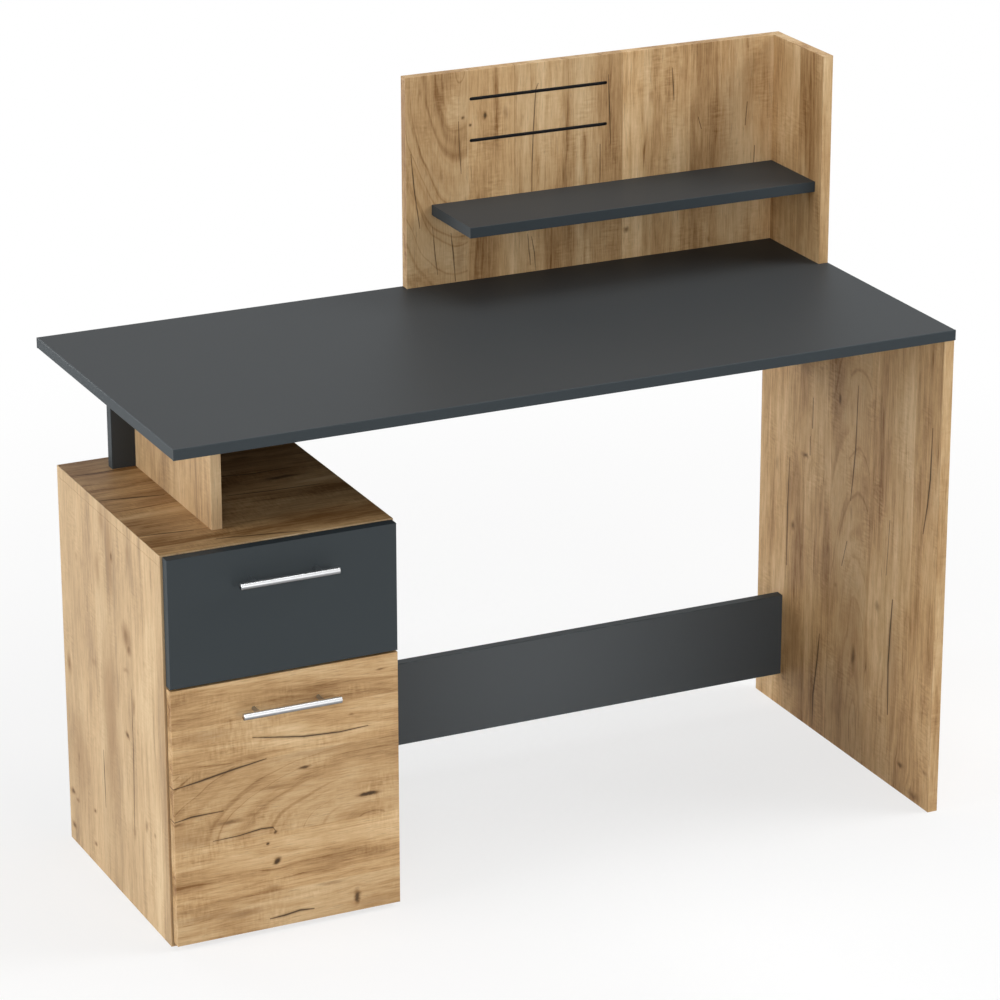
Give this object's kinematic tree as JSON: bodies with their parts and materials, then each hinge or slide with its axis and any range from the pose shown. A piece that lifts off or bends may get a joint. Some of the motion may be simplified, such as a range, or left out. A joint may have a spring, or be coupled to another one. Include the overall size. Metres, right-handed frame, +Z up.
{
  "type": "computer desk",
  "caption": "Computer desk with a pedestal cabinet of a drawer and a door under its left end, a panel leg at the right, and a raised back panel with a shelf on the desktop.",
  "frame": {"origin": "centre of the desktop's footprint, on the floor", "axes": "+X along the desk to the right as seen by the person at it, +Y to the back, +Z up"},
  "size_m": [1.2, 0.538, 1.075],
  "materials": {
    "oak_board": "matt oak decor on board",
    "oak_edging": "matt oak edging",
    "dark_board": "satin anthracite decor",
    "dark_edging": "satin anthracite",
    "hardboard": "smooth hardboard",
    "beech": "raw fluted beech",
    "bright_bar": "brushed",
    "zinc": "zinc plated",
    "nickel": "nickel plated",
    "white_steel": "white enamel",
    "nylon": "white nylon",
    "soft_clear": "clear soft bumper"
  },
  "bodies": {
    "desk": {"cabinet_back": "hardboard", "cabinet_bottom": "oak_board", "cabinet_divider": "oak_board", "cabinet_edging": "oak_edging", "cabinet_left_side": "oak_board", "cabinet_right_side": "oak_board", "cabinet_runner_left": "white_steel", "cabinet_runner_right": "white_steel", "cabinet_shelf": "oak_board", "cabinet_top": "oak_board", "cam_bolts": "zinc", "cam_locks": "zinc", "connecting_screws": "zinc", "desktop": "dark_board", "desktop_edging": "dark_edging", "dowels": "beech", "front_bumpers": "soft_clear", "hinge_arms": "nickel", "hinge_pins": "zinc", "hinge_plates": "nickel", "hinge_screws": "zinc", "hutch_back_panel": "oak_board", "hutch_edging": "oak_edging", "hutch_shelf": "dark_board", "hutch_shelf_edging": "dark_edging", "hutch_side_panel": "oak_board", "leg_edging": "oak_edging", "lower_rail": "dark_board", "rail_edging": "dark_edging", "right_leg_panel": "oak_board", "runner_screws": "zinc", "shelf_pins": "zinc", "support_post": "oak_board", "upper_rail": "dark_board"},
    "drawer": {"drawer_back": "oak_board", "drawer_bottom": "hardboard", "drawer_cam_fittings": "zinc", "drawer_front": "dark_board", "drawer_front_edging": "dark_edging", "drawer_handle_bar": "bright_bar", "drawer_handle_posts": "bright_bar", "drawer_handle_screws": "zinc", "drawer_runner_left": "white_steel", "drawer_runner_right": "white_steel", "drawer_runner_screws": "zinc", "drawer_screws": "zinc", "drawer_side_left": "oak_board", "drawer_side_right": "oak_board"},
    "door": {"door_edging": "oak_edging", "door_handle_bar": "bright_bar", "door_handle_posts": "bright_bar", "door_handle_screws": "zinc", "door_panel": "oak_board", "hinge_cups": "nickel", "hinge_cup_screws": "zinc"},
    "cabinet_roller_left": {"cabinet_roller_left": "nylon"},
    "cabinet_roller_right": {"cabinet_roller_right": "nylon"},
    "drawer_roller_left": {"drawer_roller_left": "nylon"},
    "drawer_roller_right": {"drawer_roller_right": "nylon"}
  },
  "joints": [
    {"name": "drawer_slide", "type": "slide", "parent": "desk", "child": "drawer", "axis": [0, -1, 0], "range_m": [0, 0.26]},
    {"name": "door_hinge", "type": "hinge", "parent": "desk", "child": "door", "pos_m": [-0.5903, -0.213, 0.1985], "axis": [0, 0, -1], "range_deg": [0, 95]},
    {"name": "cabinet_roller_left_spin", "type": "hinge", "parent": "desk", "child": "cabinet_roller_left", "pos_m": [-0.57675, -0.188, 0.4135], "axis": [1, 0, 0], "range_deg": [0, 1760]},
    {"name": "cabinet_roller_right_spin", "type": "hinge", "parent": "desk", "child": "cabinet_roller_right", "pos_m": [-0.27725, -0.188, 0.4135], "axis": [1, 0, 0], "range_deg": [0, 1760]},
    {"name": "drawer_roller_left_spin", "type": "hinge", "parent": "drawer", "child": "drawer_roller_left", "pos_m": [-0.57675, 0.133, 0.4135], "axis": [1, 0, 0], "range_deg": [0, 1760]},
    {"name": "drawer_roller_right_spin", "type": "hinge", "parent": "drawer", "child": "drawer_roller_right", "pos_m": [-0.27725, 0.133, 0.4135], "axis": [1, 0, 0], "range_deg": [0, 1760]}
  ],
  "couplings": [
    {"joint": "cabinet_roller_left_spin", "follows": "drawer_slide", "rad_per_m": 117.65},
    {"joint": "cabinet_roller_right_spin", "follows": "drawer_slide", "rad_per_m": 117.65},
    {"joint": "drawer_roller_left_spin", "follows": "drawer_slide", "rad_per_m": 117.65},
    {"joint": "drawer_roller_right_spin", "follows": "drawer_slide", "rad_per_m": 117.65}
  ]
}
